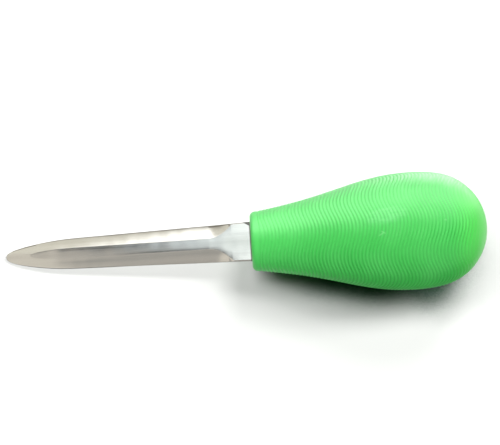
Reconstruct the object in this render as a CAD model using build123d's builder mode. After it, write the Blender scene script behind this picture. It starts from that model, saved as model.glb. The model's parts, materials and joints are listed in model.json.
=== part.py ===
# Oyster knife: a blunt, double-bevelled stainless blade with a hidden tang, and a pear-shaped
# polypropylene handle that is moulded round the tang. Sizes are in millimetres.
#
# Each piece is drawn along its own long axis first: the origin is where the blade leaves the
# handle, +X runs to the butt, and the blade's flat faces lie square to Z. At the end both pieces
# are laid down together as on a table, on the blade's point and the belly of the handle.
import os
from math import acos, atan, atan2, cos, degrees, hypot, sin

from build123d import *

os.makedirs("parts", exist_ok=True)

# Blade, seen from its flat face
blade_length = 101.6
ricasso_width = 16.4
shoulder_width = 12.4
point_length = 22.0
grind_start = 17.5
land_width = 4.5
land_setback = 10.0

# Blade, seen from its edge
stock_thickness = 2.8
land_end_thickness = 2.0
edge_thickness = 1.1
ricasso_edge_round = 0.6
grinding_wheel_radius = 60.0

# Leaf shape of the point: how far the side runs before it turns, how wide it still is there,
# and how blunt the nose is
leaf_reach_share = 0.985
leaf_width_share = 0.565
leaf_nose_share = 0.23

# Tang, hidden in the handle
collar_length = 6.0
tang_length = 72.0
tang_width = 10.4
tang_corner_radius = 1.5
tang_hole_diameter = 5.0
tang_hole_pitch = 18.0
tang_hole_count = 3
tang_hole_inset = 10.0

# Handle, along its axis from the neck's end face
handle_length = 97.7
neck_diameter = 24.2
neck_edge_round = 2.3
belly_diameter = 48.8
belly_to_butt_length = 30.2
belly_curve_radius = 60.0
neck_taper_length = 37.0
neck_taper_diameter = 34.0
belly_lead_length = 23.0

# How far a cut runs past what it cuts
cut_overrun = 1.0

# Steps along each curve of the handle when its lowest line is looked for
profile_samples = 200

# Sizes that follow from those above
half_stock = stock_thickness / 2
half_edge = edge_thickness / 2
half_land = land_width / 2
bevel_depth = half_stock - half_edge
bevel_length = blade_length - grind_start
shoulder_reach = blade_length - point_length
land_length = bevel_length - land_setback
land_taper = atan((stock_thickness - land_end_thickness) / 2 / land_length)


def half_width_at(reach):
    """Half the blade's width at a distance in front of the handle."""
    return (ricasso_width - (ricasso_width - shoulder_width) * reach / shoulder_reach) / 2


root_half_width = half_width_at(grind_start)


def leaf_outline(height, slope, root_half, shoulder_half, length):
    """One level of the ground blade: straight sides, then a leaf-shaped point."""
    level = Plane(
        origin=(-grind_start, 0, height),
        x_dir=(cos(slope), 0, sin(slope)),
        z_dir=(-sin(slope), 0, cos(slope)),
    )
    shoulder = grind_start - shoulder_reach
    run = -length - shoulder
    with BuildSketch(level) as outline:
        with BuildLine():
            Line((0, -root_half), (0, root_half))
            for side in (1, -1):
                Line((0, side * root_half), (shoulder, side * shoulder_half))
                Bezier(
                    (shoulder, side * shoulder_half),
                    (shoulder + leaf_reach_share * run, side * leaf_width_share * shoulder_half),
                    (-length, side * leaf_nose_share * shoulder_half),
                    (-length, 0),
                )
        make_face()
    return outline.sketch


def grinding_wheel_cut(side, face):
    """The scoop that a wheel leaves where one bevel runs out into the flat of the ricasso."""
    across = root_half_width - half_land
    bevel_width = hypot(across, bevel_depth)
    outward = -side * face
    rise = bevel_depth + cut_overrun
    sweep = acos(1 - rise / grinding_wheel_radius)
    run_out = grinding_wheel_radius * sin(sweep)
    bevel = Plane(
        origin=(-grind_start, side * half_land, face * half_stock),
        x_dir=(1, 0, 0),
        z_dir=(0, side * across, -face * bevel_depth),
    )
    with BuildSketch(bevel) as scoop:
        with BuildLine():
            TangentArc((0, 0), (run_out, outward * rise), tangent=(1, 0))
            Polyline((run_out, outward * rise), (0, outward * rise), (0, 0))
        make_face()
    extrude(scoop.sketch, amount=bevel_width + cut_overrun, mode=Mode.SUBTRACT)


with BuildPart() as blade:
    # Ricasso and the collar of full width just inside the handle, with rolled long edges
    with BuildSketch(Plane.XY.offset(-half_stock)):
        with BuildLine():
            Polyline(
                (-grind_start, root_half_width),
                (0, ricasso_width / 2),
                (collar_length, ricasso_width / 2),
                (collar_length, -ricasso_width / 2),
                (0, -ricasso_width / 2),
                (-grind_start, -root_half_width),
                close=True,
            )
        make_face()
    bar = extrude(amount=stock_thickness)
    fillet(
        bar.edges().filter_by(lambda edge: abs(edge.tangent_at(0).X) > abs(edge.tangent_at(0).Y)),
        ricasso_edge_round,
    )
    for side in (1, -1):
        for face in (1, -1):
            grinding_wheel_cut(side, face)
    # Ground part: a flat land on each face, a bevel down to each blunt edge, and a leaf point
    ground_levels = [
        leaf_outline(-half_stock, -land_taper, half_land, half_land, land_length),
        leaf_outline(-half_edge, 0, root_half_width, shoulder_width / 2, bevel_length),
        leaf_outline(half_edge, 0, root_half_width, shoulder_width / 2, bevel_length),
        leaf_outline(half_stock, land_taper, half_land, half_land, land_length),
    ]
    loft(ground_levels, ruled=True)
    # Tang, with holes that the handle's plastic fills
    with BuildSketch(Plane.XY.offset(-half_stock)):
        with Locations(((collar_length + tang_length) / 2, 0)):
            tang = Rectangle(tang_length - collar_length, tang_width)
        fillet(tang.vertices().group_by(Axis.X)[-1], tang_corner_radius)
        for hole in range(tang_hole_count):
            with Locations((tang_length - tang_hole_inset - hole * tang_hole_pitch, 0)):
                Circle(tang_hole_diameter / 2, mode=Mode.SUBTRACT)
    extrude(amount=stock_thickness)

# Handle profile: a slightly hollow neck that swells to the belly, then a ball-shaped butt that
# meets the belly's curve without a corner
belly_radius = belly_diameter / 2
belly_station = handle_length - belly_to_butt_length
butt_radius = (
    2 * belly_curve_radius * belly_radius - belly_radius**2 - belly_to_butt_length**2
) / (2 * (belly_curve_radius - belly_to_butt_length))
butt_centre = handle_length - butt_radius
butt_turn = degrees(atan2(belly_curve_radius - belly_radius, butt_centre - belly_station))

with BuildPart() as handle:
    with BuildSketch(Plane.XZ) as handle_half:
        with BuildLine():
            flare = Bezier(
                (0, neck_diameter / 2),
                (neck_taper_length, neck_taper_diameter / 2),
                (belly_station - belly_lead_length, belly_radius),
                (belly_station, belly_radius),
            )
            belly = CenterArc(
                (belly_station, belly_radius - belly_curve_radius),
                belly_curve_radius,
                90,
                butt_turn - 90,
            )
            CenterArc((butt_centre, 0), butt_radius, butt_turn, -butt_turn)
            Polyline((handle_length, 0), (0, 0), (0, neck_diameter / 2))
        make_face()
        neck_corner = handle_half.vertices().group_by(Axis.X)[0].sort_by(Axis.Y)[-1]
        fillet(neck_corner, neck_edge_round)
    revolve(axis=Axis.X)
    add(blade.part, mode=Mode.SUBTRACT)

# Laid down on a table: the line that touches both the point and the belly from below gives the
# tilt of the axis. Points are (distance along the axis, distance below it).
belly_points = [
    (point.X, point.Y)
    for curve in (flare, belly)
    for point in (curve @ (step / profile_samples) for step in range(profile_samples + 1))
]
point_corners = [
    (-blade_length, half_edge),
    (-blade_length + land_setback, land_end_thickness / 2),
]
lying_tilt = min(
    max(atan2(below - corner_below, along - corner_along) for along, below in belly_points)
    for corner_along, corner_below in point_corners
)
tipped = Rotation(0, -degrees(lying_tilt), 0)
overall = Compound([blade.part, handle.part]).moved(tipped).bounding_box()
lying = Location((-overall.center().X, -overall.center().Y, -overall.min.Z)) * tipped

blade.part.location = lying
blade.part.label = "blade"
export_step(blade.part, "parts/blade.step")

handle.part.location = lying
handle.part.label = "handle"
export_step(handle.part, "parts/handle.step")
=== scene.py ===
# Finished look of an oyster knife: a ground steel blade and a moulded handle with wavy ridges,
# lying on a white table in soft studio light. All lengths are in metres.
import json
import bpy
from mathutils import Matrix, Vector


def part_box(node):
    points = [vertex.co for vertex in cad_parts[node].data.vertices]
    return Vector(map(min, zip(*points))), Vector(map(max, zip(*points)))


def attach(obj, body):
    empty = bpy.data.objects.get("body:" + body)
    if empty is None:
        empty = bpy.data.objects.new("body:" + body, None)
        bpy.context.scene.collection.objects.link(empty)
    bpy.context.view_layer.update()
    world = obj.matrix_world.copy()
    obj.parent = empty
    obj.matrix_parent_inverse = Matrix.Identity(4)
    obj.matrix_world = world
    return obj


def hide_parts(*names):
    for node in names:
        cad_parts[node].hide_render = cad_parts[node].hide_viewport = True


bl_info = {
    "name": "Oyster Knife",
    "version": (1, 0, 0),
    "blender": (4, 5, 0),
    "location": "View3D > Sidebar > Oyster Knife",
    "description": "Builds an oyster knife with a ground blade and a ridged handle, and its table",
    "category": "Add Mesh",
}

from math import atan, atan2, cos, hypot, pi, radians, sin, sqrt, tan

import bmesh
import bpy
import numpy as np
from bpy.props import FloatProperty, FloatVectorProperty, IntProperty, PointerProperty
from bpy.types import Operator, Panel, PropertyGroup
from mathutils import Matrix, Vector

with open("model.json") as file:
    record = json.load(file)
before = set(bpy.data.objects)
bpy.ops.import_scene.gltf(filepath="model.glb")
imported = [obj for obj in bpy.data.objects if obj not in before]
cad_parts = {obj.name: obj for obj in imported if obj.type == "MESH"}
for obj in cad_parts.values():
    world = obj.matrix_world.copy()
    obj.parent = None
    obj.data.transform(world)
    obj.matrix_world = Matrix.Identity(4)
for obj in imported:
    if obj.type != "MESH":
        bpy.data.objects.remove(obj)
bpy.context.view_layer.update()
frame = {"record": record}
BODY = "root"
GROOVE = "groove"


# Settings that a user may change


def setting(name, description, default, **limits):
    """A number that a user may change."""
    return FloatProperty(name=name, description=description, default=default, **limits)


def length(name, description, metres):
    """A size in metres."""
    return setting(name, description, metres, min=0, unit="LENGTH", precision=5)


def share(name, description, value):
    """A part of a whole, from 0 to 1."""
    return setting(name, description, value, min=0, max=1, subtype="FACTOR", precision=3)


def angle(name, description, degrees):
    """A turn, written in degrees."""
    return setting(name, description, radians(degrees), subtype="ANGLE")


def number(name, description, value):
    """A plain factor or strength."""
    return setting(name, description, value, min=0)


def colour(name, description, *linear):
    """A linear colour."""
    return FloatVectorProperty(
        name=name, description=description, default=linear, min=0, soft_max=1, subtype="COLOR"
    )


class BladeSettings(PropertyGroup):
    """Sizes and finish of the blade."""

    blade_length: length("Blade length", "From the handle to the point", 0.1016)
    ricasso_width: length("Ricasso width", "Width of the blade at the handle", 0.0164)
    shoulder_width: length("Shoulder width", "Width where the point begins", 0.0124)
    point_length: length("Point length", "From the shoulder to the point", 0.022)
    grind_start: length("Grind start", "Length of the flat ricasso and its run-out", 0.0175)
    land_width: length("Land width", "Flat strip down the middle of each face", 0.0045)
    land_setback: length("Land setback", "From the end of the land to the point", 0.010)
    stock_thickness: length("Stock thickness", "Thickness at the handle", 0.0028)
    land_end_thickness: length("Land end thickness", "Thickness where the land ends", 0.0020)
    edge_thickness: length("Edge thickness", "Thickness of the blunt edges", 0.0011)
    ricasso_edge_round: length("Ricasso edge round", "Radius on the ricasso's edges", 0.0006)
    wheel_radius: length("Wheel radius", "Radius of the grinding wheel's run-out", 0.060)
    line_softness: length("Line softness", "How far polishing softens each ground line", 0.00035)
    facet_fullness: share("Facet fullness", "Crown of a facet, in shares of its width", 0.0065)
    shoulder_blend: share("Shoulder blend", "How far polishing eases the side into the point", 0.12)
    leaf_reach: share("Leaf reach", "How far the side runs before it turns to the point", 0.985)
    leaf_width: share("Leaf width", "Width left where the side turns", 0.565)
    leaf_nose: share("Leaf nose", "Bluntness of the nose", 0.23)
    collar_length: length("Collar length", "Full width just inside the handle", 0.006)
    tang_length: length("Tang length", "Length hidden in the handle", 0.072)
    tang_width: length("Tang width", "Width of the tang", 0.0104)
    tang_corner_radius: length("Tang corner radius", "Corners at the tang's end", 0.0015)
    tang_edge_break: length("Tang edge break", "Small bevel on the tang's edges", 0.00005)
    tang_hole_diameter: length("Tang hole diameter", "Holes that the plastic fills", 0.005)
    tang_hole_pitch: length("Tang hole pitch", "From hole to hole", 0.018)
    tang_hole_inset: length("Tang hole inset", "From the last hole to the tang's end", 0.010)
    tang_hole_count: IntProperty(name="Tang holes", description="Number of holes", default=3, min=0)
    steel: colour("Steel", "Colour of the polished steel", 0.66, 0.65, 0.615)
    roughness: share("Roughness", "Roughness between the grinding lines", 0.07)
    line_spacing: length("Line spacing", "From one grinding line to the next", 0.0005)
    line_length: length("Line length", "Length of a grinding line", 0.03)
    line_depth: length("Line depth", "Depth of the grinding lines", 0.000002)
    waviness: length("Waviness", "Height of the waves that hand polishing leaves", 0.00006)


class HandleSettings(PropertyGroup):
    """Sizes and finish of the handle."""

    handle_length: length("Handle length", "From the neck's end face to the butt", 0.0977)
    neck_diameter: length("Neck diameter", "At the blade", 0.0242)
    neck_edge_round: length("Neck edge round", "Radius round the neck's end face", 0.0023)
    belly_diameter: length("Belly diameter", "Thickest part", 0.0488)
    belly_to_butt: length("Belly to butt", "From the thickest part to the end", 0.0302)
    belly_curve_radius: length("Belly curve radius", "Lengthwise curve behind the belly", 0.060)
    neck_taper_length: length("Neck taper length", "Length of the neck's slow taper", 0.037)
    neck_taper_diameter: length("Neck taper diameter", "Where the neck's slope leads", 0.034)
    belly_lead_length: length("Belly lead length", "How early the swell levels out", 0.023)
    ridges_start: length("Ridges start", "First groove, from the neck's end face", 0.0026)
    ridges_fade: length("Ridges fade", "Where the ridges start to fade", 0.0845)
    ridges_end: length("Ridges end", "Last groove, from the neck's end face", 0.0942)
    ridge_pitch: length("Ridge pitch", "From ridge to ridge", 0.001442)
    ridge_relief: length("Ridge relief", "Depth of the grooves", 0.00022)
    wave_share: share("Wave share", "Height of the ridges' waves as a share of the radius", 0.064)
    waves_round_belly: number("Waves round belly", "Waves in one turn at the belly", 5.8)
    wave_spread: share("Wave spread", "How much fewer waves the thin neck has", 0.6)
    plastic: colour("Plastic", "Colour of the moulded plastic", 0.05, 0.64, 0.088)
    # Painted shade: how much the plastic's colour darkens down in a groove
    painted_groove_shade: share("Groove shade", "How much darker the plastic looks down in a groove", 0.2)
    roughness: share("Roughness", "Roughness of the satin skin", 0.38)
    grain_depth: length("Grain depth", "Depth of the skin's fine grain", 0.00003)
    scuff_depth: length("Scuff depth", "Depth of the fine scuffs", 0.00001)


class StageSettings(PropertyGroup):
    """Camera, light and table."""

    lens: setting("Lens", "Focal length", 100, min=1, unit="CAMERA")
    pixels_per_metre: number("Pixels per metre", "Scale of the picture at the neck", 2413)
    view_swing: angle("View swing", "Camera's lean from square on to the blade's flat", 9)
    view_roll: angle("View roll", "Slope of the knife's axis in the picture", 3.83)
    lamp_distance: length("Lamp distance", "From the knife to each lamp", 1.2)
    ambient: number("Ambient", "Soft light from all round", 0.02)


# What each flat lamp round the knife has
LAMP_SETTINGS = (
    ("elevation", angle, "Height over the table"),
    ("azimuth", angle, "Turn from straight across the knife towards its butt"),
    ("width", length, "Size along the knife"),
    ("depth", length, "Size across the knife, or height"),
    ("level", number, "Light on a surface that faces it"),
)
LAMPS = {
    "back": (42.8, 18.2, 0.40, 0.44, 0.92),
    "right": (47.7, 65.9, 1.25, 0.225, 1.72),
    "left": (58.1, -62.4, 1.0, 0.41, 1.48),
    "soft": (62, -14, 2.6, 1.6, 2.0),
    "fill": (42, 180, 2.4, 1.0, 0.68),
    "gloss": (28, 0, 5.0, 1.5, 8.2),
}
for lamp_name, lamp_values in LAMPS.items():
    for (part, kind, description), value in zip(LAMP_SETTINGS, lamp_values, strict=True):
        StageSettings.__annotations__[f"{lamp_name}_{part}"] = kind(
            f"{lamp_name.capitalize()} lamp {part}", description, value
        )

# The photograph's frame, and where the middle of the neck's end lies in it
IMAGE_WIDTH, IMAGE_HEIGHT = 500, 445
NECK_PIXEL = (251.0, 241.6)


# Where the knife lies


def land_taper(blade):
    """Slope of each land towards the blade's middle plane."""
    land_length = blade.blade_length - blade.grind_start - blade.land_setback
    return atan((blade.stock_thickness - blade.land_end_thickness) / 2 / land_length)


def lying_place(blade):
    """Turns the knife's own axes into the frame's: +X to the butt, +Z square to the flats.

    The land's mount gives the tilt, and the point, which touches the table, the place.
    """
    mount = next(m for m in frame["record"]["mounts"] if m["name"] == "blade_flat")
    tilt = atan2(-mount["axis"][0], mount["axis"][2]) - land_taper(blade)
    low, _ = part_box("blade")
    half_edge = blade.edge_thickness / 2
    across, upright = sin(tilt), cos(tilt)
    x = low.x + blade.blade_length * upright + half_edge * across
    z = low.z + blade.blade_length * across + half_edge * upright
    turn = Matrix(((upright, 0, -across), (0, 1, 0), (across, 0, upright)))
    return Matrix.Translation((x, 0, z)) @ turn.to_4x4()


# Mesh helpers


# Points nearer to each other than this become one
WELD_DISTANCE = 1e-7


def add_object(name, data):
    """A new object in the scene."""
    made = bpy.data.objects.new(name, data)
    bpy.context.scene.collection.objects.link(made)
    return made


def smooth_step(value, start, end):
    """0 at start and 1 at end, with an easy passage between; works on arrays."""
    reach = np.clip((np.asarray(value, float) - start) / (end - start), 0, 1)
    return reach * reach * (3 - 2 * reach)


def on_curve(controls, t):
    """A point on a cubic curve, or one for each row of t."""
    weights = ((1 - t) ** 3, 3 * t * (1 - t) ** 2, 3 * t * t * (1 - t), t**3)
    return sum(w * c for w, c in zip(weights, np.array(controls, float), strict=True))


def ring_faces(rings, around):
    """Quads between rings of equal count, and a flat cap on the first ring."""
    faces = [tuple(range(around))[::-1]]
    for ring in range(rings - 1):
        here = ring * around
        there = here + around
        for step in range(around):
            after = (step + 1) % around
            faces.append((here + step, here + after, there + after, there + step))
    return faces


def piece_from(name, points, faces, place, sharp_angle):
    """A new object at the origin from points in the knife's own axes."""
    mesh = bpy.data.meshes.new(name)
    mesh.from_pydata([place @ Vector(point) for point in points], [], faces)
    work = bmesh.new()
    work.from_mesh(mesh)
    bmesh.ops.remove_doubles(work, verts=work.verts, dist=WELD_DISTANCE)
    bmesh.ops.dissolve_degenerate(work, edges=work.edges, dist=WELD_DISTANCE)
    bmesh.ops.recalc_face_normals(work, faces=work.faces)
    work.to_mesh(mesh)
    work.free()
    mesh.shade_smooth()
    mesh.set_sharp_from_angle(angle=sharp_angle)
    return add_object(name, mesh)


def cut_away(piece, cutter, sharp_angle):
    """Takes the cutter's space out of the piece for good."""
    cut = piece.modifiers.new("cut", "BOOLEAN")
    cut.operation = "DIFFERENCE"
    cut.solver = "EXACT"
    cut.object = cutter
    bpy.context.view_layer.update()
    seen = piece.evaluated_get(bpy.context.evaluated_depsgraph_get())
    before = piece.data
    piece.data = bpy.data.meshes.new_from_object(seen)
    piece.modifiers.clear()
    bpy.data.meshes.remove(before)
    piece.data.name = piece.name
    piece.data.set_sharp_from_angle(angle=sharp_angle)


# Blade


# Rings along each stretch of the blade
TANG_END_RINGS = 9
COLLAR_RINGS = 16
RUN_OUT_RINGS = 28
STRAIGHT_RINGS = 45
POINT_RINGS = 56
LAND_STEPS = 5
HOLE_SIDES = 48
# Where an outline is read round a point to ease its corners, and how much each reading counts
EASING = {-1: 1, -0.5: 2, 0: 3, 0.5: 2, 1: 1}
BLADE_SHARP_ANGLE = radians(40)


def soft_corner(corner, before, after, reach, steps=4, longest_share=0.48):
    """A corner eased over a short reach along both of its legs."""
    ends = []
    for other in (before, after):
        leg = other - corner
        size = np.linalg.norm(leg)
        ends.append(corner + leg * (min(reach / size, longest_share) if size > 0 else 0))
    points = []
    for step in range(steps + 1):
        t = step / steps
        points.append((1 - t) ** 2 * ends[0] + 2 * t * (1 - t) * corner + t * t * ends[1])
    return points


def crowned(start, end, fullness, steps=6):
    """Points between two, raised in the middle as polishing leaves a ground facet."""
    across = end - start
    size = np.linalg.norm(across[1:])
    if size == 0:
        return [start + across * step / steps for step in range(1, steps)]
    outward = np.array((0, -across[2], across[1])) / size
    if outward[2] < 0:
        outward = -outward
    return [
        start + across * t + outward * size * fullness * 4 * t * (1 - t)
        for t in np.arange(1, steps) / steps
    ]


def blade_ring(land, edge, softness, fullness=0.0):
    """One closed ring across the blade, by where its land ends and where its edge starts."""
    land, edge = np.array((land, edge), float)
    land_middle = land * (1, 0, 1)
    edge_middle = edge * (1, 1, 0)
    # The land's crown is taken off its sides, so that the blade stays within its stock
    land = land - (0, 0, fullness * 4 * land[1] / 2)
    land_side = soft_corner(land, land_middle, edge, softness)
    edge_side = soft_corner(edge, land, edge_middle, softness)
    shares = np.arange(LAND_STEPS) / LAND_STEPS
    flat = [land_middle + (land_side[0] - land_middle) * (t, t, t * t) for t in shares]
    bevel = crowned(land_side[-1], edge_side[0], fullness)
    quarter = np.array([*flat, *land_side, *bevel, *edge_side, edge_middle])
    below = quarter[::-1][1:] * (1, 1, -1)
    left_below = quarter[1:] * (1, -1, -1)
    left = quarter[::-1][1:-1] * (1, -1, 1)
    return np.concatenate([quarter, below, left_below, left])


def leaf_line(blade, level, along):
    """A point on a ground level: along runs from 0 at the root over 1 at the shoulder to 2.

    A level is its half width at the root and at the shoulder, and the shoulder's and the tip's
    distance from the root.
    """
    root_half, shoulder_half, shoulder, length = level
    if along <= 1:
        return shoulder * along, root_half + (shoulder_half - root_half) * along
    run = length - shoulder
    controls = (
        (shoulder, shoulder_half),
        (shoulder + blade.leaf_reach * run, blade.leaf_width * shoulder_half),
        (length, blade.leaf_nose * shoulder_half),
        (length, 0),
    )
    return on_curve(controls, along - 1)


def blended_leaf(blade, level, along):
    """The same point with the outline's corners eased along the blade, as polishing does."""
    reach = min(blade.shoulder_blend, along, 2 - along)
    near = np.array([leaf_line(blade, level, along + side * reach) for side in EASING])
    return np.average(near, axis=0, weights=list(EASING.values()))


def blade_rings(blade):
    """Rings of the blade from the end of the tang to the point, in the knife's own axes."""
    half_stock = blade.stock_thickness / 2
    half_edge = blade.edge_thickness / 2
    half_land = blade.land_width / 2
    shoulder_reach = blade.blade_length - blade.point_length
    ground_length = blade.blade_length - blade.grind_start
    land_length = ground_length - blade.land_setback
    shoulder = shoulder_reach - blade.grind_start
    slope = tan(land_taper(blade))
    # The rolled edges of the bar: two soft corners close to the true radius
    corner_cut = blade.ricasso_edge_round * (2 - sqrt(2))
    corner_softness = blade.ricasso_edge_round * tan(radians(22.5))
    edge_break = blade.tang_edge_break

    def half_width(reach):
        taper = (blade.ricasso_width - blade.shoulder_width) * reach / shoulder_reach
        return (blade.ricasso_width - taper) / 2

    def bar_ring(x, half, cut, softness, fullness=0.0):
        land, edge = (x, half - cut, half_stock), (x, half, half_stock - cut)
        return blade_ring(land, edge, softness, fullness)

    tang_half = blade.tang_width / 2
    corner = blade.tang_corner_radius
    rings = []
    for turn in np.linspace(0, pi / 2, TANG_END_RINGS):
        x = blade.tang_length - corner * (1 - cos(turn))
        half = tang_half - corner * (1 - sin(turn))
        rings.append(bar_ring(x, half, edge_break, edge_break))
    rings.append(bar_ring(blade.collar_length, tang_half, edge_break, edge_break))
    root_half = half_width(blade.grind_start)
    bevel_slope = (half_stock - half_edge) / (root_half - half_land)
    bevel_rise = hypot(1, 1 / bevel_slope)
    # The wheel's run-out reaches the bar's edge here
    full_rise = (root_half - corner_cut - half_land) / bevel_rise
    run_out = sqrt(2 * blade.wheel_radius * full_rise - full_rise**2)
    rings += [
        bar_ring(x, half_width(max(0, -x)), corner_cut, corner_softness, blade.facet_fullness)
        for x in np.linspace(blade.collar_length, run_out - blade.grind_start, COLLAR_RINGS)
    ]
    for x in np.linspace(run_out, 0, RUN_OUT_RINGS)[1:]:
        rise = blade.wheel_radius - sqrt(blade.wheel_radius**2 - x**2)
        half = half_width(blade.grind_start - x)
        land_line = min(half_land + rise * bevel_rise, half - corner_cut)
        edge_line = min(half_stock - (half - land_line) * bevel_slope, half_stock - corner_cut)
        ground = 1 - x / run_out
        softness = corner_softness + (blade.line_softness - corner_softness) * ground
        land = (x - blade.grind_start, land_line, half_stock)
        edge = (x - blade.grind_start, half, edge_line)
        rings.append(blade_ring(land, edge, softness, blade.facet_fullness))
    land_level = (half_land, half_land, shoulder, land_length)
    edge_level = (root_half, blade.shoulder_width / 2, shoulder, ground_length)
    straight = np.linspace(0, 1, STRAIGHT_RINGS)[1:]
    for along in (*straight, *np.linspace(1, 2, POINT_RINGS)[1:]):
        land_x, land_y = blended_leaf(blade, land_level, along)
        edge_x, edge_y = blended_leaf(blade, edge_level, along)
        land = (-blade.grind_start - land_x, land_y, half_stock - slope * land_x)
        edge = (-blade.grind_start - edge_x, edge_y, half_edge)
        rings.append(blade_ring(land, edge, blade.line_softness, blade.facet_fullness))
    return rings


def tang_hole_cutter(blade, place):
    """Round bars where the tang's holes go."""
    work = bmesh.new()
    radius = blade.tang_hole_diameter / 2
    for hole in range(blade.tang_hole_count):
        x = blade.tang_length - blade.tang_hole_inset - hole * blade.tang_hole_pitch
        bmesh.ops.create_cone(
            work,
            cap_ends=True,
            segments=HOLE_SIDES,
            radius1=radius,
            radius2=radius,
            depth=2 * blade.stock_thickness,
            matrix=place @ Matrix.Translation((x, 0, 0)),
        )
    mesh = bpy.data.meshes.new("tang_holes")
    work.to_mesh(mesh)
    work.free()
    return add_object("tang_holes", mesh)


# Handle


# Rows and points of the skin
POINTS_AROUND = 180
NECK_EDGE_ROWS = 12
ROWS_PER_RIDGE = 8
BUTT_ROWS = 26
HANDLE_SHARP_ANGLE = radians(60)
# The waves rise from the first of these shares of the ridges' start to the second, and start to
# die out this far in front of the last groove
WAVES_FROM_SHARE = 0.8
WAVES_FULL_SHARE = 1.9
WAVES_CALM = 0.006


def arc(centre, radius, start, end, count):
    """Points on an arc from one turn to another."""
    turn = np.linspace(start, end, count)
    return np.array(centre) + radius * np.stack((np.cos(turn), np.sin(turn)), axis=1)


def handle_outline(handle, steps=600):
    """The CAD profile from the neck's rounded edge to the butt: (along the axis, radius)."""
    belly, to_butt = handle.belly_diameter / 2, handle.belly_to_butt
    belly_station = handle.handle_length - to_butt
    curve = handle.belly_curve_radius
    butt = (2 * curve * belly - belly**2 - to_butt**2) / (2 * (curve - to_butt))
    butt_centre = handle.handle_length - butt
    butt_turn = atan2(curve - belly, butt_centre - belly_station)
    neck = handle.neck_diameter / 2
    taper = handle.neck_taper_diameter / 2
    controls = (
        (0, neck),
        (handle.neck_taper_length, taper),
        (belly_station - handle.belly_lead_length, belly),
        (belly_station, belly),
    )
    flare = on_curve(controls, np.linspace(0, 1, steps)[:, None])
    # The neck's edge is rounded against the flare's first slope
    slope = atan2(taper - neck, handle.neck_taper_length)
    edge = handle.neck_edge_round
    edge_centre = (edge, neck - (1 / cos(slope) - tan(slope)) * edge)
    neck_edge = arc(edge_centre, edge, pi, pi / 2 + slope, NECK_EDGE_ROWS)
    flare = flare[flare[:, 0] > neck_edge[-1, 0]]
    back = arc((belly_station, belly - curve), curve, pi / 2, butt_turn, steps // 4)[1:]
    ball = arc((butt_centre, 0), butt, butt_turn, 0, steps // 2)[1:]
    return np.concatenate([neck_edge, flare, back, ball]), butt_centre, butt


def ridge_wave(handle, station, radius, angle_from_flat):
    """How far a ridge lies towards the butt, which swings to and fro round the handle."""
    belly = handle.belly_diameter / 2
    waves = handle.waves_round_belly * (radius / belly) ** handle.wave_spread
    start = handle.ridges_start
    fade = smooth_step(station, WAVES_FROM_SHARE * start, WAVES_FULL_SHARE * start)
    fade *= 1 - smooth_step(station, handle.ridges_end - WAVES_CALM, handle.handle_length)
    return handle.wave_share * radius * fade * np.cos(waves * angle_from_flat)


def handle_skin(handle):
    """Points of the ridged skin, row by row from the neck's end face to the butt's pole.

    With them come how deep in a groove each one lies, from 0 to 1, and the number of rows.
    """
    outline, butt_centre, butt = handle_outline(handle)
    edge_rows = outline[:NECK_EDGE_ROWS]
    start = handle.ridges_start
    ridge_count = round((handle.ridges_end - start) / handle.ridge_pitch)
    ridge_rows = np.arange(ridge_count * ROWS_PER_RIDGE + 1) / ROWS_PER_RIDGE
    stations = start + ridge_rows * handle.ridge_pitch
    end_turn = np.arccos((stations[-1] - butt_centre) / butt)
    butt_turns = np.linspace(end_turn, 0, BUTT_ROWS)[1:-1]
    butt_stations = butt_centre + butt * np.cos(butt_turns)
    all_stations = np.concatenate([edge_rows[:, 0], stations, butt_stations])
    all_radii = np.interp(all_stations, outline[:, 0], outline[:, 1])
    all_radii[: len(edge_rows)] = edge_rows[:, 1]
    all_radii[len(edge_rows) + len(stations) :] = butt * np.sin(butt_turns)
    theta = np.arange(POINTS_AROUND) / POINTS_AROUND * 2 * pi
    from_flat = np.minimum(theta % pi, pi - theta % pi)
    shift = ridge_wave(handle, all_stations[:, None], all_radii[:, None], from_flat[None, :])
    moved = all_stations[:, None] + shift
    radii = np.interp(moved, outline[:, 0], outline[:, 1])
    radii[: len(edge_rows)] = edge_rows[:, 1:]
    slope = np.gradient(outline[:, 1], outline[:, 0])
    lean = np.interp(moved, outline[:, 0], slope)
    phase = (all_stations - start) / handle.ridge_pitch
    groove = 0.5 - 0.5 * np.cos(2 * pi * phase)
    ridged = (all_stations >= start) & (all_stations <= stations[-1])
    fade = np.where(ridged, 1 - smooth_step(all_stations, handle.ridges_fade, handle.ridges_end), 0)
    grooved = (groove * fade)[:, None] * np.ones_like(moved)
    depth = handle.ridge_relief * grooved
    norm = np.sqrt(1 + lean**2)
    x = moved + depth * lean / norm
    radial = radii - depth / norm
    points = np.stack((x, radial * np.sin(theta), radial * np.cos(theta)), axis=2)
    pole = np.array([[handle.handle_length, 0, 0]])
    points = np.concatenate([points.reshape(-1, 3), pole])
    return points, np.append(grooved.ravel(), 0), len(all_stations)


# Shader helpers


def new_material(name):
    """A node material with its output and Principled BSDF."""
    material = bpy.data.materials.new(name)
    material.use_nodes = True
    return material, material.node_tree, material.node_tree.nodes["Principled BSDF"]


def feed(tree, socket, value):
    """Gives a socket a value, or links another socket to it."""
    if isinstance(value, bpy.types.NodeSocket):
        tree.links.new(value, socket)
    else:
        socket.default_value = value


def set_up(tree, node, **settings):
    """A node's settings; those whose names start with a capital are for its sockets."""
    for name, value in settings.items():
        if name[0].isupper():
            feed(tree, node.inputs[name.replace("_", " ")], value)
        else:
            setattr(node, name, value)
    return node


def add_node(tree, kind, **settings):
    """A new node with its settings."""
    return set_up(tree, tree.nodes.new("ShaderNode" + kind), **settings)


def join(tree, operation, first, second):
    """A sum, product and the like of two sockets or numbers."""
    node = add_node(tree, "Math", operation=operation)
    feed(tree, node.inputs[0], first)
    feed(tree, node.inputs[1], second)
    return node.outputs["Value"]


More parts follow.
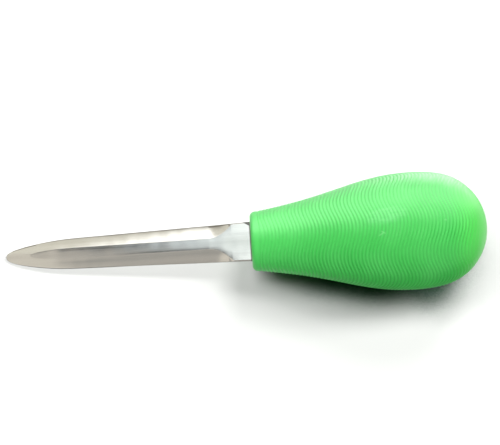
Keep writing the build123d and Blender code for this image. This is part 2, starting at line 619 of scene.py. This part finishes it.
def times(tree, first, second):
    """The product of two sockets or numbers."""
    return join(tree, "MULTIPLY", first, second)


def most(tree, first, second):
    """The larger of two sockets or numbers."""
    return join(tree, "MAXIMUM", first, second)


def axes(tree, vector):
    """The X, Y and Z of a vector."""
    parts = add_node(tree, "SeparateXYZ", Vector=vector)
    return [parts.outputs[axis] for axis in "XYZ"]


def size_of(tree, vector):
    """The length of a vector."""
    return add_node(tree, "VectorMath", operation="LENGTH", Vector=vector).outputs["Value"]


def rise(tree, value, start, end):
    """0 where the value is start and 1 where it is end, with an easy passage between."""
    node = add_node(tree, "MapRange", interpolation_type="SMOOTHSTEP", Value=value)
    return set_up(tree, node, From_Min=start, From_Max=end).outputs["Result"]


def overlay(tree, below, mask, above):
    """The colour above laid over the one below where the mask is 1."""
    node = add_node(tree, "Mix", data_type="RGBA", Factor=mask)
    for socket, value in ((node.inputs[6], below), (node.inputs[7], above)):
        feed(tree, socket, (*value, 1) if isinstance(value, tuple) else value)
    return node.outputs[2]


def layered(tree, base, *layers):
    """The base colour with each (mask, colour) laid over it in turn."""
    for mask, above in layers:
        base = overlay(tree, base, mask, above)
    return base


def mix_shaders(tree, mask, first, second):
    """The first shader where the mask is 0, and the second where it is 1."""
    mix = add_node(tree, "MixShader")
    for socket, value in zip(mix.inputs, (mask, first, second), strict=True):
        feed(tree, socket, value)
    return mix.outputs["Shader"]


def knife_coordinates(tree, place):
    """Object coordinates turned into the knife's own axes."""
    where = add_node(tree, "TexCoord").outputs["Object"]
    back = place.inverted()
    shift, turn = back.to_translation(), back.to_euler()
    mapping = add_node(tree, "Mapping", Vector=where, Location=shift, Rotation=turn)
    return mapping.outputs["Vector"]


def new_group(name, values, outputs):
    """An empty node group that reads a vector, the named values and a seed."""
    group = bpy.data.node_groups.new(name, "ShaderNodeTree")
    sockets = group.interface
    sockets.new_socket("Vector", in_out="INPUT", socket_type="NodeSocketVector")
    for value_name, default in {**values, "Seed": 0.0}.items():
        socket = sockets.new_socket(value_name, in_out="INPUT", socket_type="NodeSocketFloat")
        socket.default_value = default
    for value_name in outputs:
        sockets.new_socket(value_name, in_out="OUTPUT", socket_type="NodeSocketFloat")
    return group, group.nodes.new("NodeGroupInput"), group.nodes.new("NodeGroupOutput")


def use_group(tree, group, vector, **values):
    """What the group gives in a material, with its values and the place it is read at."""
    return add_node(tree, "Group", node_tree=group, Vector=vector, **values).outputs


def noise_layers(group, start, end, vector, scale, *layers):
    """Noise for each (output, factor on the scale, detail), with the group's own seed."""
    for name, factor, detail in layers:
        noise = add_node(group, "TexNoise", noise_dimensions="4D", Vector=vector, Detail=detail)
        set_up(group, noise, Scale=times(group, scale, factor), W=start.outputs["Seed"])
        feed(group, end.inputs[name], noise.outputs["Fac"])


def streak_group():
    """Lines drawn along X: hair lines, and broader bands of them."""
    values = {"Spacing": 0.0004, "Length": 0.02}
    group, start, end = new_group("drawn_lines", values, ("Lines", "Bands"))
    spacing = start.outputs["Spacing"]
    ratio = join(group, "DIVIDE", spacing, start.outputs["Length"])
    squeeze = add_node(group, "CombineXYZ", X=ratio, Y=1.0, Z=1.0).outputs["Vector"]
    stretched = add_node(group, "VectorMath", operation="MULTIPLY", Vector=start.outputs["Vector"])
    feed(group, stretched.inputs[1], squeeze)
    vector, scale = stretched.outputs["Vector"], join(group, "DIVIDE", 1.0, spacing)
    noise_layers(group, start, end, vector, scale, ("Lines", 1.0, 2.0), ("Bands", 0.16, 1.0))
    return group


def mottle_group():
    """Soft patches, and fine grain, from 0 to 1."""
    group, start, end = new_group("soft_patches", {"Patch": 0.01}, ("Patches", "Grain"))
    vector, scale = start.outputs["Vector"], join(group, "DIVIDE", 1.0, start.outputs["Patch"])
    noise_layers(group, start, end, vector, scale, ("Patches", 1.0, 1.0), ("Grain", 24.0, 2.0))
    return group


def shared_groups():
    """The node groups that both the steel and the plastic use, built once."""
    kept = bpy.data.node_groups
    return {
        "lines": kept.get("drawn_lines") or streak_group(),
        "patches": kept.get("soft_patches") or mottle_group(),
    }


def between(tree, value, low, high, start=0.3, end=0.7):
    """A value from start to end turned into one from low to high."""
    node = add_node(tree, "MapRange", Value=value, From_Min=start, From_Max=end)
    return set_up(tree, node, To_Min=low, To_Max=high).outputs["Result"]


def bump(tree, height, depth, below=None):
    """A surface raised by height times depth in metres, on top of another bump if given."""
    node = add_node(tree, "Bump", Strength=1.0, Distance=depth, Height=height)
    if below is not None:
        set_up(tree, node, Normal=below)
    return node.outputs["Normal"]


# Painted shade on the steel where it meets the plastic, standing in for the contact shadow
# there: (start, end) along the knife, and along a slant that leaves more of it in one corner
JOINT_PAINTED_SHADE = (-0.00065, -0.0002)
CORNER_PAINTED_SHADE = (0.0097, 0.0102)
CORNER_SLANT = 1.6
JOINT_SHADE_SHARE = 0.85
JOINT_SHADE_COLOUR = (0.05, 0.045, 0.035)
DULL_STEEL_SHARE = 0.86
STEEL_PATCH = 0.009
# How much rougher the steel is on its lines and in its patches, as factors on its roughness
ROUGH_LINES, ROUGH_PATCHES = 1.7, 0.5


def steel_material(blade, place, groups):
    """Hand-polished steel with fine lines along the blade."""
    material, tree, shader = new_material("blade_steel")
    vector = knife_coordinates(tree, place)
    x, y, _ = axes(tree, vector)
    spacing, size, rough = blade.line_spacing, blade.line_length, blade.roughness
    lines = use_group(tree, groups["lines"], vector, Spacing=spacing, Length=size)
    patches = use_group(tree, groups["patches"], vector, Patch=STEEL_PATCH, Seed=3.0)
    steel = tuple(blade.steel)
    # Painted shade where the steel meets the plastic, deepest in one corner
    slant = join(tree, "ADD", x, times(tree, y, CORNER_SLANT))
    joint_shade = most(tree, rise(tree, x, *JOINT_PAINTED_SHADE), rise(tree, slant, *CORNER_PAINTED_SHADE))
    tint = layered(
        tree,
        tuple(DULL_STEEL_SHARE * part for part in steel),
        (between(tree, lines["Bands"], 0, 1), steel),
        (between(tree, patches["Patches"], 0, 0.5), steel),
        (times(tree, joint_shade, JOINT_SHADE_SHARE), JOINT_SHADE_COLOUR),
    )
    along_lines = between(tree, lines["Lines"], rough, ROUGH_LINES * rough)
    in_patches = between(tree, patches["Patches"], 0, ROUGH_PATCHES * rough)
    rough = join(tree, "ADD", along_lines, in_patches)
    wavy = bump(tree, patches["Patches"], blade.waviness)
    lined = bump(tree, lines["Lines"], blade.line_depth, wavy)
    set_up(tree, shader, Base_Color=tint, Metallic=1, Roughness=rough, Normal=lined)
    return material


# Painted light on the plastic along the knife: a yellower glow at the butt, standing in for light
# shining through its rim, and a painted sheen that makes the neck paler: (start, end, strength,
# colour)
PAINTED_BUTT_GLOW = (0.078, 0.096, 0.9, (0.09, 0.84, 0.087))
PAINTED_NECK_SHEEN = (0.03, 0.005, 0.45, (0.085, 0.68, 0.125))
UPPER_SIDE = (0.0, 0.004)
BLOT_EDGE = (1.0, 0.1)
# Soft ovals on the upper side: (x, y, half length, half width, lean)
PALE_PATCH = (0.0545, 0.0036, 0.0105, 0.0042, 0.12)
NICKS = (
    (0.0521, -0.0037, 0.0017, 0.0004, 0.5),
    (0.0528, -0.0031, 0.0012, 0.0004, -0.6),
    (0.0779, 0.0002, 0.0007, 0.0005, 0.0),
)
PALE_PATCH_SHARE, PALE_PATCH_PLASTIC = 0.2, (0.3, 0.85, 0.38)
NICK_SHARE, NICKED_PLASTIC = 0.22, (0.4, 0.9, 0.45)
DEEP_SHARE, PALE_SHARE = 0.9, 0.05
PLASTIC_PATCH, SCUFF_SPACING, SCUFF_LENGTH = 0.012, 0.0009, 0.006
ROUGHNESS_SPREAD = 0.04
# What scuffs turn into: (low, high, from, to)
SCUFF_ROUGHNESS = (0, 0.06, 0.55, 0.75)
SCUFFS_IN_PATCH = (0.35, 1.0, 0.4, 0.6)
PLASTIC_IOR = 1.49


def plastic_material(handle, place, groups):
    """Satin moulded plastic with soft mottling, fine scuffs and a pale patch on its upper side."""
    material, tree, shader = new_material("handle_plastic")
    vector = knife_coordinates(tree, place)
    x, y, z = axes(tree, vector)
    upper = rise(tree, z, *UPPER_SIDE)
    patches = use_group(tree, groups["patches"], vector, Patch=PLASTIC_PATCH, Seed=7.0)
    scuffs = use_group(
        tree, groups["lines"], vector, Spacing=SCUFF_SPACING, Length=SCUFF_LENGTH, Seed=5.0
    )["Lines"]
    groove = add_node(tree, "Attribute", attribute_name=GROOVE).outputs["Fac"]

    def plastic(share_kept):
        return tuple(share_kept * part for part in handle.plastic)

    def along_knife(start, end, strength, tinted):
        return times(tree, rise(tree, x, start, end), strength), tinted

    def blot(x_middle, y_middle, half_length, half_width, lean):
        """A soft oval on the handle's upper side."""
        along = join(tree, "SUBTRACT", x, x_middle)
        across = join(tree, "SUBTRACT", y, y_middle)
        across = join(tree, "SUBTRACT", across, times(tree, along, lean))
        far = join(
            tree,
            "ADD",
            join(tree, "POWER", join(tree, "DIVIDE", along, half_length), 2.0),
            join(tree, "POWER", join(tree, "DIVIDE", across, half_width), 2.0),
        )
        return times(tree, upper, rise(tree, far, *BLOT_EDGE))

    pale_patch = times(tree, blot(*PALE_PATCH), between(tree, scuffs, *SCUFFS_IN_PATCH))
    nicked = blot(*NICKS[0])
    for nick in NICKS[1:]:
        nicked = most(tree, nicked, blot(*nick))
    pale = tuple(part + (0.5 - part) * PALE_SHARE for part in handle.plastic)
    tint = layered(
        tree,
        plastic(DEEP_SHARE),
        (between(tree, patches["Patches"], 0, 1), pale),
        # Painted shade in the grooves, standing in for the shade that falls there: half of a shade
        # twice as strong, which leaves the mottling in the grooves
        (times(tree, groove, 0.5), plastic(1 - 2 * handle.painted_groove_shade)),
        # Painted glow at the butt and painted sheen at the neck
        along_knife(*PAINTED_BUTT_GLOW),
        along_knife(*PAINTED_NECK_SHEEN),
        (times(tree, pale_patch, PALE_PATCH_SHARE), PALE_PATCH_PLASTIC),
        (times(tree, nicked, NICK_SHARE), NICKED_PLASTIC),
    )
    low, high = handle.roughness - ROUGHNESS_SPREAD, handle.roughness + ROUGHNESS_SPREAD
    rough = between(tree, patches["Patches"], low, high)
    rough = join(tree, "ADD", rough, between(tree, scuffs, *SCUFF_ROUGHNESS))
    grain = bump(tree, patches["Grain"], handle.grain_depth)
    scuffed = bump(tree, scuffs, handle.scuff_depth, grain)
    set_up(tree, shader, Base_Color=tint, Roughness=rough, IOR=PLASTIC_IOR, Normal=scuffed)
    return material


TABLE_HALF = 4.0
# Light that the table throws back on the knife, and its colours in the light and in the shade
TABLE_BOUNCE = (0.2, 0.2, 0.2, 1)
TABLE_WHITE = (0.435, 0.44, 0.43)
TABLE_SHADE = (0.03, 0.07, 0.045)
# The shade close under the handle: how far it looks for cover, and (start, end) of open sky, of
# where it stops along the knife and across it, and of the butt, which deepens it
SHADE_REACH, SHADE_SAMPLES = 0.06, 16
OPEN_SKY = (0.49, 0.66)
SHADE_STOPS_ALONG = (0.04, 0.01)
SHADE_STOPS_ACROSS = (-0.01, 0.0)
BUTT_SHADE, BUTT_SHADE_DEPTH = (0.065, 0.085), 0.14
# Painted reflections: what gloss shows of the table, a bright far side, brightest past the butt,
# which puts a painted highlight on the handle, and a dark near side and strip by the point, which
# stand in for shade seen in the handle's lower side and the blade's edge
FAR_SIDE, FAR_COLOUR = (0.03, 0.09), (0.8, 0.8, 0.8)
PAST_BUTT, PAST_BUTT_GLOSS_GLOW = (0.05, 0.09), (2.0, 2.0, 2.0)
NEAR_SIDE, NEAR_GLOSS_SHADE = (-0.019, -0.042), (0.03, 0.03, 0.03)
BY_POINT_ALONG, BY_POINT_ACROSS = (-0.045, -0.06), (-0.002, -0.005)
# Out of the lamps' reach the table runs into the white background
RUNS_TO_WHITE = (0.22, 0.34)


def table_material():
    """A white table that keeps the knife's shadow and has no edge."""
    material, tree, shader = new_material("white_table")
    tree.nodes.remove(shader)
    where = add_node(tree, "TexCoord").outputs["Object"]
    x, y, _ = axes(tree, where)
    hidden = add_node(tree, "AmbientOcclusion", samples=SHADE_SAMPLES, Distance=SHADE_REACH)
    butt = times(tree, rise(tree, x, *BUTT_SHADE), BUTT_SHADE_DEPTH)
    sky = join(tree, "SUBTRACT", hidden.outputs["AO"], butt)
    away = most(tree, rise(tree, x, *SHADE_STOPS_ALONG), rise(tree, y, *SHADE_STOPS_ACROSS))
    open_sky = most(tree, rise(tree, sky, *OPEN_SKY), away)
    # Painted reflections, shown to gloss rays only
    gloss = add_node(tree, "LightPath").outputs["Is Glossy Ray"]
    far = times(tree, rise(tree, y, *FAR_SIDE), gloss)
    by_point = times(tree, rise(tree, x, *BY_POINT_ALONG), rise(tree, y, *BY_POINT_ACROSS))
    near = most(tree, rise(tree, y, *NEAR_SIDE), by_point)
    colour_seen = layered(
        tree,
        TABLE_SHADE,
        (open_sky, TABLE_WHITE),
        (far, FAR_COLOUR),
        (times(tree, far, rise(tree, x, *PAST_BUTT)), PAST_BUTT_GLOSS_GLOW),
        (times(tree, near, gloss), NEAR_GLOSS_SHADE),
    )
    plain = add_node(tree, "BsdfDiffuse", Color=TABLE_BOUNCE).outputs["BSDF"]
    lit = add_node(tree, "BsdfDiffuse", Color=colour_seen).outputs["BSDF"]
    white = add_node(tree, "Emission").outputs["Emission"]
    far_off = rise(tree, size_of(tree, where), *RUNS_TO_WHITE)
    shown = mix_shaders(tree, looked_at(tree), plain, mix_shaders(tree, far_off, lit, white))
    set_up(tree, tree.nodes["Material Output"], Surface=shown)
    return material


# Studio round the knife, which only gloss shows


def looked_at(tree):
    """1 for what the camera sees itself, by gloss or through glass, and 0 for the rest."""
    rays = add_node(tree, "LightPath").outputs
    seen = most(tree, rays["Is Camera Ray"], rays["Is Glossy Ray"])
    return most(tree, seen, rays["Is Transmission Ray"])


# The height of the ceiling's lowest part, and how softly its panels end
LOWEST_CEILING = 0.05
PANEL_SOFTNESS = 0.015
# Edges of what the ceiling shows, as (start, end) along or across it
NEAR_STRETCH, NEAR_END, POINT_END = (-0.145, -0.09), (-1.5, -4.0), (-0.285, -0.34)
FAR_WALL, FAR_SHADE = (0.29, 0.33), (0.52, 0.6)
PANEL_LEAN, PANEL_EDGE, PANEL_STARTS = -0.43, (-0.456, -0.426), (0.3, 0.33)
GAP_SLANT, GAP_EDGE, GAP_ENDS, GAP_ACROSS = 1.08, (-0.15, -0.115), (-0.256, -0.243), (0.03, 0.3)
BLUE_ALONG, BLUE_ACROSS = (-0.268, -0.19), (0.11, 0.31)
HANDLE_ALONG, HANDLE_ACROSS, CLOUD_ACROSS = (-0.18, -0.165), (0.02, 0.32), (0.125, 0.17)
# The plain room round about: where it takes over, and its soft darks and lights
ROOM_STARTS, ROOM_SCALE, ROOM_LIT = (0.75, 1.1), 3.0, (0.4, 0.6)
ROOM_DARK, ROOM_LIGHT = (0.16, 0.155, 0.15), (1.1, 1.08, 1.03)


def studio_ceiling(tree):
    """What a mirror on the table shows of the studio, by its place on a flat ceiling.

    Along is the ceiling's axis over the knife, and across the one towards the far side, both as
    shares of the ceiling's height.
    """
    ray = add_node(tree, "TexCoord").outputs["Generated"]
    x, y, z = axes(tree, ray)
    height = most(tree, z, LOWEST_CEILING)
    along = join(tree, "DIVIDE", x, height)
    across = join(tree, "DIVIDE", y, height)

    def inside(low, high):
        """1 where the ceiling's across axis is from low to high."""
        entering = rise(tree, across, low - PANEL_SOFTNESS, low + PANEL_SOFTNESS)
        leaving = rise(tree, across, high + PANEL_SOFTNESS, high - PANEL_SOFTNESS)
        return times(tree, entering, leaving)

    # A white panel whose edge slants
    leant = join(tree, "ADD", along, times(tree, across, PANEL_LEAN))
    panel = times(tree, rise(tree, leant, *PANEL_EDGE), rise(tree, across, *PANEL_STARTS))
    # A dark gap that closes to a point over the blade's own point
    closing = join(tree, "ADD", across, times(tree, along, GAP_SLANT))
    opening = most(tree, rise(tree, closing, *GAP_EDGE), rise(tree, along, *GAP_ENDS))
    over_handle = rise(tree, along, *HANDLE_ALONG)
    flat = add_node(tree, "CombineXYZ", X=along, Y=across)
    noise = add_node(tree, "TexNoise", Vector=ray, Scale=ROOM_SCALE, Detail=0.0)
    room = overlay(tree, ROOM_DARK, rise(tree, noise.outputs["Fac"], *ROOM_LIT), ROOM_LIGHT)
    return layered(
        tree,
        # Grey near walls with a darker stretch, paler over the point's end of the table
        (0.59, 0.565, 0.525),
        (inside(*NEAR_STRETCH), (0.47, 0.465, 0.44)),
        (rise(tree, across, *NEAR_END), (0.2, 0.19, 0.18)),
        (rise(tree, along, *POINT_END), (0.94, 0.89, 0.8)),
        # A warm far wall, the panel, and shade beyond it
        (rise(tree, across, *FAR_WALL), (0.98, 0.95, 0.84)),
        (panel, (2.2, 2.2, 2.15)),
        (rise(tree, across, *FAR_SHADE), (0.3, 0.28, 0.24)),
        (times(tree, opening, inside(*GAP_ACROSS)), (0.1, 0.105, 0.11)),
        # Bluish light beyond the gap, brightest over the handle's end, with a cloud in it
        (times(tree, rise(tree, along, *BLUE_ALONG), inside(*BLUE_ACROSS)), (0.96, 1.06, 1.12)),
        (times(tree, over_handle, inside(*HANDLE_ACROSS)), (1.72, 1.86, 1.88)),
        (times(tree, over_handle, inside(*CLOUD_ACROSS)), (0.9, 1.0, 0.97)),
        (rise(tree, size_of(tree, flat.outputs["Vector"]), *ROOM_STARTS), room),
    )


# Operators


def facing(side, up, back, place):
    """The place of something that looks against its third axis."""
    matrix = Matrix((side, up, back)).transposed().to_4x4()
    matrix.translation = place
    return matrix


class KNIFE_OT_blade(Operator):
    """Build the ground steel blade with its hidden tang"""

    bl_idname = "oyster_knife.blade"
    bl_label = "Build Blade"

    def execute(self, context):
        blade = context.scene.knife_blade
        place = lying_place(blade)
        rings = blade_rings(blade)
        faces = ring_faces(len(rings), len(rings[0]))
        points = np.concatenate(rings)
        piece = piece_from("ground_blade", points, faces, place, BLADE_SHARP_ANGLE)
        cutter = tang_hole_cutter(blade, place)
        cut_away(piece, cutter, BLADE_SHARP_ANGLE)
        bpy.data.objects.remove(cutter)
        # The broad flat faces carry the shading, so that they mirror evenly
        piece.modifiers.new("even_normals", "WEIGHTED_NORMAL").keep_sharp = True
        piece.data.materials.clear()
        piece.data.materials.append(steel_material(blade, place, shared_groups()))
        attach(piece, BODY)
        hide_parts("blade")
        return {"FINISHED"}


class KNIFE_OT_handle(Operator):
    """Build the moulded handle with its wavy ridges"""

    bl_idname = "oyster_knife.handle"
    bl_label = "Build Handle"

    def execute(self, context):
        handle = context.scene.knife_handle
        place = lying_place(context.scene.knife_blade)
        points, grooved, rows = handle_skin(handle)
        faces = ring_faces(rows, POINTS_AROUND)
        tip = rows * POINTS_AROUND
        last = tip - POINTS_AROUND
        faces += [
            (last + step, last + (step + 1) % POINTS_AROUND, tip) for step in range(POINTS_AROUND)
        ]
        piece = piece_from("ridged_handle", points, faces, place, HANDLE_SHARP_ANGLE)
        shade = piece.data.attributes.new(GROOVE, "FLOAT", "POINT")
        shade.data.foreach_set("value", grooved)
        piece.data.materials.append(plastic_material(handle, place, shared_groups()))
        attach(piece, BODY)
        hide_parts("handle")
        return {"FINISHED"}


class KNIFE_OT_stage(Operator):
    """Set up the table, the camera and the studio light"""

    bl_idname = "oyster_knife.stage"
    bl_label = "Set Up Stage"

    def execute(self, context):
        stage = context.scene.knife_stage
        place = lying_place(context.scene.knife_blade)
        self.table()
        self.camera(context, stage, place)
        self.lights(stage)
        self.studio(context, stage.ambient)
        context.scene.view_settings.view_transform = "Standard"
        return {"FINISHED"}

    def table(self):
        mesh = bpy.data.meshes.new("table")
        half = TABLE_HALF
        corners = [(-half, -half, 0), (half, -half, 0), (half, half, 0), (-half, half, 0)]
        mesh.from_pydata(corners, [], [(0, 1, 2, 3)])
        mesh.materials.append(table_material())
        add_object("table", mesh)

    def camera(self, context, stage, place):
        along, across, square, neck = (place.col[k].xyz for k in range(4))
        swing, roll = stage.view_swing, stage.view_roll
        forward = sin(swing) * across - cos(swing) * square
        level = cos(swing) * across + sin(swing) * square
        right = cos(roll) * along - sin(roll) * level
        up = sin(roll) * along + cos(roll) * level
        data = bpy.data.cameras.new("camera")
        data.lens = stage.lens
        focal = data.lens / data.sensor_width * IMAGE_WIDTH
        aside = (NECK_PIXEL[0] - IMAGE_WIDTH / 2) / focal
        above = (IMAGE_HEIGHT / 2 - NECK_PIXEL[1]) / focal
        distance = focal / stage.pixels_per_metre
        camera = add_object("camera", data)
        spot = neck - distance * (forward + aside * right + above * up)
        camera.matrix_world = facing(right, up, -forward, spot)
        context.scene.camera = camera

    def lamp(self, stage, name):
        """A flat lamp that faces the knife; a surface square to it gets its level of light."""
        elevation, azimuth, width, depth, level = (
            getattr(stage, f"{name}_{part}") for part, *_ in LAMP_SETTINGS
        )
        data = bpy.data.lights.new(name + "_lamp", "AREA")
        data.shape = "RECTANGLE"
        data.size, data.size_y = width, depth
        data.energy = level * pi * pi * stage.lamp_distance**2
        flat = cos(elevation)
        towards = Vector((sin(azimuth) * flat, cos(azimuth) * flat, sin(elevation)))
        side = (Vector((1, 0, 0)) - towards * towards.x).normalized()
        lamp = add_object(name + "_lamp", data)
        spot = towards * stage.lamp_distance
        lamp.matrix_world = facing(side, towards.cross(side), towards, spot)
        return lamp

    def only(self, name, *object_names):
        """A collection that a lamp's light or shadow is limited to."""
        group = bpy.data.collections.new(name)
        for object_name in object_names:
            group.objects.link(bpy.data.objects[object_name])
        return group

    def lights(self, stage):
        knife = self.only("the_knife", "ground_blade", "ridged_handle")
        handle = self.only("the_handle", "ridged_handle")
        table = self.only("the_table", "table")
        # The table has strong lamps of its own and a dark colour, so that the light which the
        # handle throws on it hardly tints its shadow
        for name in ("back", "right", "left"):
            lamp = self.lamp(stage, name)
            lamp.visible_glossy = False
            lamp.light_linking.receiver_collection = table
            if name != "right":
                # The blade casts no shadow here, which keeps the table bright beside it
                lamp.light_linking.blocker_collection = handle
        for name in ("soft", "fill"):
            lamp = self.lamp(stage, name)
            lamp.visible_glossy = False
            lamp.light_linking.receiver_collection = knife
        gloss = self.lamp(stage, "gloss")
        gloss.visible_diffuse = False
        gloss.light_linking.receiver_collection = handle

    def studio(self, context, ambient):
        world = bpy.data.worlds.new("studio")
        context.scene.world = world
        world.use_nodes = True
        # The even grey of the ambient light needs no importance map
        world.cycles.sampling_method = "NONE"
        tree = world.node_tree
        paths = add_node(tree, "LightPath")
        shown = layered(
            tree,
            (ambient,) * 3,
            (paths.outputs["Is Glossy Ray"], studio_ceiling(tree)),
            (paths.outputs["Is Transmission Ray"], (1, 1, 1)),
            (paths.outputs["Is Camera Ray"], (1, 1, 1)),
        )
        set_up(tree, tree.nodes["Background"], Color=shown)


class KNIFE_PT_sidebar(Panel):
    """Buttons and settings of the knife"""

    bl_idname = "KNIFE_PT_sidebar"
    bl_label = "Oyster Knife"
    bl_space_type = "VIEW_3D"
    bl_region_type = "UI"
    bl_category = "Oyster Knife"

    def draw(self, context):
        layout = self.layout
        for operator, group in (
            (KNIFE_OT_blade, context.scene.knife_blade),
            (KNIFE_OT_handle, context.scene.knife_handle),
            (KNIFE_OT_stage, context.scene.knife_stage),
        ):
            box = layout.box()
            box.operator(operator.bl_idname)
            for name in group.__annotations__:
                box.prop(group, name)


CLASSES = (
    BladeSettings,
    HandleSettings,
    StageSettings,
    KNIFE_OT_blade,
    KNIFE_OT_handle,
    KNIFE_OT_stage,
    KNIFE_PT_sidebar,
)


def register():
    for kind in CLASSES:
        bpy.utils.register_class(kind)
    bpy.types.Scene.knife_blade = PointerProperty(type=BladeSettings)
    bpy.types.Scene.knife_handle = PointerProperty(type=HandleSettings)
    bpy.types.Scene.knife_stage = PointerProperty(type=StageSettings)


def unregister():
    del bpy.types.Scene.knife_stage
    del bpy.types.Scene.knife_handle
    del bpy.types.Scene.knife_blade
    for kind in reversed(CLASSES):
        bpy.utils.unregister_class(kind)


def main():
    register()
    bpy.ops.oyster_knife.blade()
    bpy.ops.oyster_knife.handle()
    bpy.ops.oyster_knife.stage()


if __name__ == "__main__":
    main()
